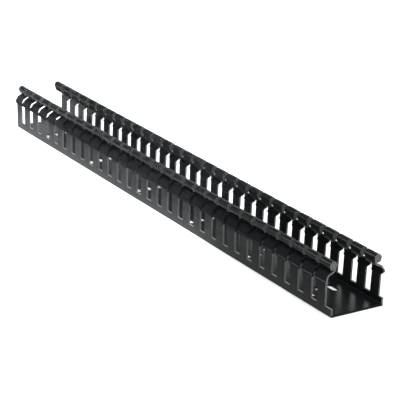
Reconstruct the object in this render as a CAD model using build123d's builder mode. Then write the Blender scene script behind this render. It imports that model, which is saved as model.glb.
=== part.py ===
"""Slotted wiring duct, open-topped body.

One extruded rigid-plastic channel. Both side walls are punched into fingers, and every finger
ends in a knuckle that juts out, a sloping shoulder and a rounded bead that a cover snaps over.
X runs along the duct, Y across it, Z up. The origin is the centre of the underside.
"""
import math
import os

from build123d import *

# Extrusion, in millimetres and degrees
duct_length = 375.0
base_width = 34.8
base_thickness = 1.2
wall_thickness = 1.0
wall_splay = 1.2
foot_outer_radius = 0.5
foot_inner_radius = 0.8

# Outer line of a finger: up the wall, out round the knuckle, over the shoulder and up the neck
knuckle_start_height = 17.4
knuckle_low_height = 18.3
knuckle_high_height = 20.2
knuckle_reach = 1.0
shoulder_height = 22.9
shoulder_inset = 0.4
neck_height = 24.5
neck_inset = 3.9
neck_top_inset = 4.8

# Bead, with the flat underside that faces the shoulder
bead_height = 27.6
bead_radius = 2.4
bead_inset = 3.45
bead_flat_height = 25.05
bead_flat_inset = 3.2
bead_flat_width = 2.4
bead_flat_rise = 1.0

# Side slots
slot_pitch = 12.5
slot_count = 31
slot_width = 5.2
slot_sill_height = 4.8
slot_shoulder_height = 16.9
throat_width = 1.5
throat_height = 19.3
bead_gap_width = 3.2
bead_gap_start_height = 21.8
near_slot_shift = -3.2
far_slot_shift = -0.6

# Mounting holes: groups along the duct, a row of oblong holes across the base in each
mounting_hole_width = 4.0
mounting_hole_length = 9.4
mounting_group_pitch = 62.5
mounting_group_count = 6
mounting_row_pitch = 7.8
mounting_row_count = 3
mounting_row_shift = -1.3

# How far a cutter runs past the faces that it cuts
overrun = 1.0

half_width = base_width / 2
bead_top = bead_height + bead_radius
lean = math.tan(math.radians(wall_splay))


def across(height, inset):
    """Distance from the middle plane to a point inset from the wall's outer face."""
    return half_width + lean * height - inset


def slot_centres(shift):
    """Places of one wall's slots along the duct, the cut ones at both ends included."""
    run = (slot_count - 1) * slot_pitch
    return [index * slot_pitch - run / 2 + shift for index in range(slot_count)]


def rootless_ends(shift):
    """Slots at a sawn end with less than a wall thickness beyond: that last sliver is gone."""
    return [
        (centre, end)
        for centre in slot_centres(shift)
        for end in (-1, 1)
        if 0 < duct_length / 2 - end * centre < slot_width / 2 + wall_thickness
    ]


mounting_group_run = (mounting_group_count - 1) * mounting_group_pitch
mounting_row_run = (mounting_row_count - 1) * mounting_row_pitch
mounting_group_places = [
    index * mounting_group_pitch - mounting_group_run / 2 for index in range(mounting_group_count)
]
mounting_row_places = [
    index * mounting_row_pitch - mounting_row_run / 2 + mounting_row_shift
    for index in range(mounting_row_count)
]

# Outline of one slot: a wide window, a narrow throat at the knuckle and a gap from there up
with BuildSketch() as slot_outline:
    with BuildLine():
        Polyline(
            (0, slot_sill_height),
            (slot_width / 2, slot_sill_height),
            (slot_width / 2, slot_shoulder_height),
            (throat_width / 2, throat_height),
            (bead_gap_width / 2, bead_gap_start_height),
            (bead_gap_width / 2, bead_top + overrun),
            (0, bead_top + overrun),
        )
        mirror(about=Plane.YZ)
    make_face()

# Bead with its flat underside, on the wall at the right of the section
with BuildSketch() as bead:
    with Locations((across(0, bead_inset), bead_height)):
        Circle(bead_radius)
    with Locations((across(0, bead_flat_inset), bead_flat_height)):
        Rectangle(bead_flat_width, bead_flat_rise, align=(Align.CENTER, Align.MIN))
    make_hull()

# Strip of wall at the right of the section, bent over into the finger's top
with BuildSketch() as strip:
    with BuildLine():
        Polyline(
            (across(0, 0), 0),
            (across(knuckle_start_height, 0), knuckle_start_height),
            (across(knuckle_start_height, -knuckle_reach), knuckle_low_height),
            (across(knuckle_start_height, -knuckle_reach), knuckle_high_height),
            (across(0, shoulder_inset), shoulder_height),
            (across(0, neck_inset), neck_height),
            (across(0, neck_top_inset), bead_height),
        )
        offset(amount=wall_thickness, side=Side.LEFT, kind=Kind.INTERSECTION)
    make_face()

with BuildPart() as duct_body:
    # The section is a base, two walls and two beads, with rounded feet
    with BuildSketch(Plane.YZ.offset(-duct_length / 2)) as section:
        Rectangle(half_width, base_thickness, align=(Align.MIN, Align.MIN))
        add(strip.sketch_local)
        outer_foot = section.vertices().group_by(Axis.Y)[0].sort_by(Axis.X)[-1]
        fillet(outer_foot, foot_outer_radius)
        base_top = section.vertices().filter_by_position(
            Axis.Y, base_thickness - foot_outer_radius / 2, base_thickness + foot_outer_radius / 2
        )
        fillet(base_top.sort_by(Axis.X)[-1], foot_inner_radius)
        add(bead.sketch_local)
        mirror(about=Plane.YZ)
    extrude(amount=duct_length)

    # Slots through the near wall, then through the far one
    for shift, side in ((near_slot_shift, 1), (far_slot_shift, -1)):
        with BuildSketch(Plane.XZ):
            with Locations([(centre, 0) for centre in slot_centres(shift)]):
                add(slot_outline.sketch_local)
            for centre, end in rootless_ends(shift):
                with Locations((centre, slot_sill_height)):
                    Rectangle(
                        slot_width, bead_top, align=(Align.MIN if end > 0 else Align.MAX, Align.MIN)
                    )
        extrude(amount=side * base_width, mode=Mode.SUBTRACT)

    # Mounting holes through the base
    with BuildSketch():
        with Locations([(x, y) for x in mounting_group_places for y in mounting_row_places]):
            SlotOverall(mounting_hole_length, mounting_hole_width)
    extrude(amount=base_thickness, mode=Mode.SUBTRACT)

os.makedirs("parts", exist_ok=True)
duct_body.part.label = "duct_body"
export_step(duct_body.part, "parts/duct_body.step")
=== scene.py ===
"""Looks of the slotted wiring duct: black satin plastic, paler where it was punched and sawn, with
painted glints there and painted highlights along those edges.
"""
import math

import bpy
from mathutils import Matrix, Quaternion, Vector

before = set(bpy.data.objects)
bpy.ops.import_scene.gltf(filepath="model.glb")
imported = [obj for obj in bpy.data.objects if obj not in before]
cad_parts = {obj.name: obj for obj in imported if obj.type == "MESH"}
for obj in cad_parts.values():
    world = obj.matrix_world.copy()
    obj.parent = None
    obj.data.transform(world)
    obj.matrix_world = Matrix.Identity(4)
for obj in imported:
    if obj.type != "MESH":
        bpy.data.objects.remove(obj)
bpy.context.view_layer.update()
MM = 0.001

# Camera from the photo's perspective, in metres, with its lens and sensor in millimetres
CAMERA_PLACE = Vector((0.8130, -0.5055, 0.3535))
CAMERA_AIM = Vector((0.03544, -0.00442, 0.015))
CAMERA_ROLL = math.radians(1.904)
CAMERA_LENS = 146.35
CAMERA_SENSOR = 36
CAMERA_NEAR = 0.01
CAMERA_FAR = 20

# Lamps: name, place, aim and size in metres, power in watts and spread in degrees
LAMPS = (
    ("overhead", (0, 0, 1.6), (0, 0, 0), (2.4, 2.4), 54, 180),
    ("front_beam", (-0.09, -0.45, 0.32), (-0.09, -0.03, 0), (0.3, 0.2), 0.53, 10),
    ("fill_left", (-0.3, -0.42, 0.3), (-0.1, -0.02, 0), (0.1, 0.2), 2.5, 180),
    ("fill_right", (0.3, -0.6, 0.6), (0.15, 0, 0), (0.3, 0.3), 0.16, 60),
    ("backdrop", (-1.1, 0.9, 0.6), (0, 0, 0.05), (2.2, 0.44), 8, 180),
)

# Sky: where it starts to dim and where it is dimmest, as sines of the elevation, with its strengths
SKY_SPAN = (0.1, 0.5)
SKY_STRENGTH = (0.35, 0.2)

# Floor, a hair below the duct
FLOOR_SIZE = 6.0
FLOOR_HEIGHT = -0.02 * MM
FLOOR_COLOUR = (0.86, 0.86, 0.86)
FLOOR_ROUGHNESS = 0.9
FLOOR_SHINE = 0.1

# Places on the duct that its material needs, in metres
SILL_HEIGHT = 4.8 * MM
SILL_BAND = 0.25 * MM
THROAT_LOW = 17.0 * MM
THROAT_HIGH = 24.9 * MM
BASE_TOP = 1.3 * MM
SAWN_END = 181.0 * MM
# Rounding of punched edges, which also sets how wide the painted edge highlight is
EDGE_ROUND_RADIUS = 0.3 * MM

# Where faces look, as parts of their normals: along the duct, up, and out of or into the channel
CUT_SPAN = (0.3, 0.5)
SILL_UP = 0.9
OUTER_FROM = 0.02
INNER_FROM = -0.5

# The painted edge highlight starts and is whole where the rounded normal leaves the face's own, as
# cosines
EDGE_HIGHLIGHT_SPAN = (0.985, 0.9)
EDGE_ROUND_SAMPLES = 6

# Rolls of the shading normal: outer side or not, then two heights in millimetres, each with its
# tilt in radians. The outer side rolls up the wall, over the knuckle and shoulder, and round the
# bead's underside. The inner side is flat behind the knuckle and tilts up at the neck.
ROLLS = (
    (True, 0.3, -0.3, 17.45, 0.26),
    (True, 17.45, 0.26, 18.7, 0.4),
    (True, 18.7, 0.4, 20.2, 1.1),
    (True, 20.2, 1.1, 24.6, 1.12),
    (True, 25.0, -1.2, 26.6, -0.44),
    (False, 17.2, 0.0, 20.2, 0.0),
    (False, 23.2, 0.5, 27.2, 0.3),
)

# Colours of the plastic: its skin, its torn faces with painted glints, and the painted highlight
# along their edges
SKIN_COLOURS = ((0.0036, 0.0044, 0.0048), (0.0066, 0.0078, 0.0084))
TORN_AND_GLINT_COLOURS = ((0.03, 0.031, 0.032), (0.25, 0.25, 0.25))
TORN_AND_GLINT_SPAN = (0.3, 0.7)
EDGE_HIGHLIGHT_COLOUR = (0.30, 0.305, 0.31)

# How much of the torn look, paler with painted glints and painted edge highlights, is gone on clean
# cuts and on the ends of the beads between fingers
CLEAN_SHARE = 0.97
BEAD_SHARE = 0.4

# Gloss, and the extrusion lines and grain that vary it and the colours; the grain also places the
# painted glints on torn faces
REFRACTION = 1.5
SHINE = 0.05
SKIN_ROUGHNESS = (0.21, 0.29)
TORN_ROUGHNESS = 0.45
LINE_SCALE = (4, 900, 900)
LINE_DETAIL = 3.0
LINE_BUMP = 0.05
LINE_DEPTH = 0.1 * MM
GRAIN_SCALE = 2500.0
GRAIN_DETAIL = 2.0

# Sockets of a Mix node for each kind of data: its two inputs and its output
MIX_SOCKETS = {"FLOAT": (2, 3, 0), "VECTOR": (4, 5, 1), "RGBA": (6, 7, 2)}


class Graph:
    """A node tree with short ways to add to it. Inputs take sockets or plain values."""

    def __init__(self, tree):
        self.tree = tree

    def feed(self, socket, value):
        """Link an input to a socket, or set its plain value."""
        if isinstance(value, bpy.types.NodeSocket):
            self.tree.links.new(value, socket)
        else:
            socket.default_value = value

    def node(self, kind, inputs=None, **properties):
        """A node with its properties set and its inputs fed; its outputs."""
        made = self.tree.nodes.new(kind)
        for name, value in properties.items():
            setattr(made, name, value)
        for name, value in (inputs or {}).items():
            self.feed(made.inputs[name], value)
        return made.outputs

    def math(self, operation, *terms):
        """One step of arithmetic."""
        return self.node("ShaderNodeMath", dict(enumerate(terms)), operation=operation)[0]

    def carried(self, value, span, reach=(0.0, 1.0), **properties):
        """A value carried over from one span of numbers to another."""
        limits = zip(("From Min", "From Max", "To Min", "To Max"), (*span, *reach))
        inputs = {"Value": value, **dict(limits)}
        return self.node("ShaderNodeMapRange", inputs, **properties)[0]

    def mixed(self, kind, factor, first, second):
        """Two values of one kind of data mixed."""
        low, high, result = MIX_SOCKETS[kind]
        inputs = {"Factor": factor, low: first, high: second}
        return self.node("ShaderNodeMix", inputs, data_type=kind)[result]

    def coloured(self, value, colours, span=(0.0, 1.0)):
        """A value turned into a colour between two."""
        ramp = self.tree.nodes.new("ShaderNodeValToRGB")
        for stop, colour, place in zip(ramp.color_ramp.elements, colours, span):
            stop.color = (*colour, 1)
            stop.position = place
        self.feed(ramp.inputs["Fac"], value)
        return ramp.outputs["Color"]

    def thinned(self, mask, other, share):
        """A mask that loses a share of itself where another one is."""
        rest = self.math("SUBTRACT", 1.0, self.math("MULTIPLY", other, share))
        return self.math("MULTIPLY", mask, rest)


def punched_faces(graph, place, look):
    """Mask of the faces that look along the duct and of the sills, which look up at one height."""
    cut = graph.carried(graph.math("ABSOLUTE", look["X"]), CUT_SPAN)
    level = graph.math("COMPARE", place["Z"], SILL_HEIGHT, SILL_BAND)
    upward = graph.math("GREATER_THAN", look["Z"], SILL_UP)
    return graph.math("MAXIMUM", cut, graph.math("MULTIPLY", level, upward))


def torn_and_glint_faces(graph, place, punched):
    """Masks of torn edges, which carry painted highlights, and of torn faces, which are paler with
    painted glints. Throats and the base are cut clean, beads partly.
    """
    height = place["Z"]
    inside = graph.math("LESS_THAN", place["X"], SAWN_END)
    above = graph.math("GREATER_THAN", height, THROAT_LOW)
    below = graph.math("LESS_THAN", height, THROAT_HIGH)
    throat = graph.math("MULTIPLY", graph.math("MULTIPLY", above, below), inside)
    clean = graph.math("MAXIMUM", throat, graph.math("LESS_THAN", height, BASE_TOP))
    edges = graph.thinned(punched, clean, CLEAN_SHARE)
    bead = graph.math("MULTIPLY", graph.math("GREATER_THAN", height, THROAT_HIGH), inside)
    return edges, graph.thinned(edges, bead, BEAD_SHARE)


def rolled_normal(graph, place, look, punched, normal):
    """Shading normal that rolls as ROLLS says where the wall isn't punched."""
    height = place["Z"]
    side = graph.math("SIGN", place["Y"])
    outward = graph.math("MULTIPLY", look["Y"], side)
    uncut = graph.math("SUBTRACT", 1.0, punched)
    outer = graph.math("GREATER_THAN", outward, OUTER_FROM), side
    inner = graph.math("LESS_THAN", outward, INNER_FROM), graph.math("MULTIPLY", side, -1.0)
    for is_outer, low, low_tilt, high, high_tilt in ROLLS:
        facing, way = outer if is_outer else inner
        tilt = graph.carried(height, (low * MM, high * MM), (low_tilt, high_tilt))
        out = graph.math("MULTIPLY", way, graph.math("COSINE", tilt))
        up = graph.math("SINE", tilt)
        rolled = graph.node("ShaderNodeCombineXYZ", {"Y": out, "Z": up})[0]
        above = graph.math("GREATER_THAN", height, low * MM)
        below = graph.math("LESS_THAN", height, high * MM)
        zone = graph.math("MULTIPLY", graph.math("MULTIPLY", above, below), facing)
        normal = graph.mixed("VECTOR", graph.math("MULTIPLY", zone, uncut), normal, rolled)
    return normal


def duct_plastic():
    """Satin black plastic with faint extrusion lines, paler on torn faces with painted glints, and
    with painted highlights along their edges.
    """
    material = bpy.data.materials.new("duct_plastic")
    material.use_nodes = True
    material.node_tree.nodes.clear()
    graph = Graph(material.node_tree)

    # Where a point is and which way its face looks
    spot = graph.node("ShaderNodeTexCoord")["Object"]
    place = graph.node("ShaderNodeSeparateXYZ", {"Vector": spot})
    face = graph.node("ShaderNodeNewGeometry")["True Normal"]
    look = graph.node("ShaderNodeSeparateXYZ", {"Vector": face})
    punched = punched_faces(graph, place, look)
    edges, faces = torn_and_glint_faces(graph, place, punched)

    # Extrusion lines run along the duct, and torn faces are grainy, with painted glints in their
    # grain
    along = graph.node("ShaderNodeMapping", {"Vector": spot, "Scale": LINE_SCALE})[0]
    lines = graph.node(
        "ShaderNodeTexNoise", {"Vector": along, "Scale": 1.0, "Detail": LINE_DETAIL})["Fac"]
    grain = graph.node(
        "ShaderNodeTexNoise", {"Vector": spot, "Scale": GRAIN_SCALE, "Detail": GRAIN_DETAIL})["Fac"]

    # Painted edge highlights: where the rounded normal leaves the face's own
    rounded = graph.node("ShaderNodeBevel", {"Radius": EDGE_ROUND_RADIUS}, samples=EDGE_ROUND_SAMPLES)["Normal"]
    turn = graph.node("ShaderNodeVectorMath", {0: rounded, 1: face}, operation="DOT_PRODUCT")
    edge_highlight = graph.carried(turn["Value"], EDGE_HIGHLIGHT_SPAN)

    # Skin, then torn faces paler with painted glints, then painted highlights along torn edges
    skin = graph.coloured(lines, SKIN_COLOURS)
    torn_and_glint = graph.coloured(grain, TORN_AND_GLINT_COLOURS, TORN_AND_GLINT_SPAN)
    plain = graph.mixed("RGBA", faces, skin, torn_and_glint)
    colour = graph.mixed("RGBA", graph.math("MULTIPLY", edge_highlight, edges), plain, (*EDGE_HIGHLIGHT_COLOUR, 1))
    gloss = graph.carried(lines, (0.0, 1.0), SKIN_ROUGHNESS)
    bump = graph.node("ShaderNodeBump", {
        "Strength": LINE_BUMP,
        "Distance": LINE_DEPTH,
        "Height": lines,
        "Normal": rolled_normal(graph, place, look, punched, rounded),
    })
    shader = graph.node("ShaderNodeBsdfPrincipled", {
        "Base Color": colour,
        "Roughness": graph.mixed("FLOAT", punched, gloss, TORN_ROUGHNESS),
        "IOR": REFRACTION,
        "Specular IOR Level": SHINE,
        "Normal": bump[0],
    })
    graph.node("ShaderNodeOutputMaterial", {"Surface": shader["BSDF"]})
    return material


def dress_duct():
    """The CAD solid keeps its mesh and gets the plastic."""
    material = duct_plastic()
    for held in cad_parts["duct_body"].material_slots:
        held.material = material


def add_floor():
    """A wide pale floor under the duct."""
    bpy.ops.mesh.primitive_plane_add(size=FLOOR_SIZE, location=(0, 0, FLOOR_HEIGHT))
    floor = bpy.context.object
    floor.name = "studio_floor"
    material = bpy.data.materials.new("studio_floor")
    material.use_nodes = True
    shader = material.node_tree.nodes["Principled BSDF"]
    shader.inputs["Base Color"].default_value = (*FLOOR_COLOUR, 1)
    shader.inputs["Roughness"].default_value = FLOOR_ROUGHNESS
    shader.inputs["Specular IOR Level"].default_value = FLOOR_SHINE
    floor.data.materials.append(material)


def add_sky():
    """Light round the horizon that fades to a dim ceiling."""
    world = bpy.data.worlds.new("studio")
    bpy.context.scene.world = world
    world.use_nodes = True
    graph = Graph(world.node_tree)
    spot = graph.node("ShaderNodeTexCoord")["Generated"]
    height = graph.node("ShaderNodeSeparateXYZ", {"Vector": spot})["Z"]
    fade = graph.carried(height, SKY_SPAN, SKY_STRENGTH, interpolation_type="SMOOTHSTEP")
    background = world.node_tree.nodes["Background"]
    graph.feed(background.inputs["Color"], (1, 1, 1, 1))
    graph.feed(background.inputs["Strength"], fade)


def stand(name, data, place, turn):
    """Puts a lamp or camera in the scene; its object."""
    holder = bpy.data.objects.new(name, data)
    bpy.context.collection.objects.link(holder)
    holder.location = place
    holder.rotation_mode = "QUATERNION"
    holder.rotation_quaternion = turn
    return holder


def add_lamp(name, place, aim, size, power, spread):
    """A soft rectangular studio lamp."""
    lamp = bpy.data.lights.new(name, "AREA")
    lamp.shape = "RECTANGLE"
    lamp.size, lamp.size_y = size
    lamp.energy = power
    lamp.spread = math.radians(spread)
    stand(name, lamp, place, (Vector(aim) - Vector(place)).to_track_quat("-Z", "Y"))


def add_camera():
    """The camera stands where the photo's camera stood."""
    camera = bpy.data.cameras.new("camera")
    camera.lens = CAMERA_LENS
    camera.sensor_width = CAMERA_SENSOR
    camera.clip_start = CAMERA_NEAR
    camera.clip_end = CAMERA_FAR
    turn = (CAMERA_AIM - CAMERA_PLACE).to_track_quat("-Z", "Y")
    turn = turn @ Quaternion((0, 0, 1), CAMERA_ROLL)
    bpy.context.scene.camera = stand("camera", camera, CAMERA_PLACE, turn)


dress_duct()
add_floor()
add_sky()
for lamp_values in LAMPS:
    add_lamp(*lamp_values)
add_camera()
bpy.context.scene.view_settings.view_transform = "Standard"
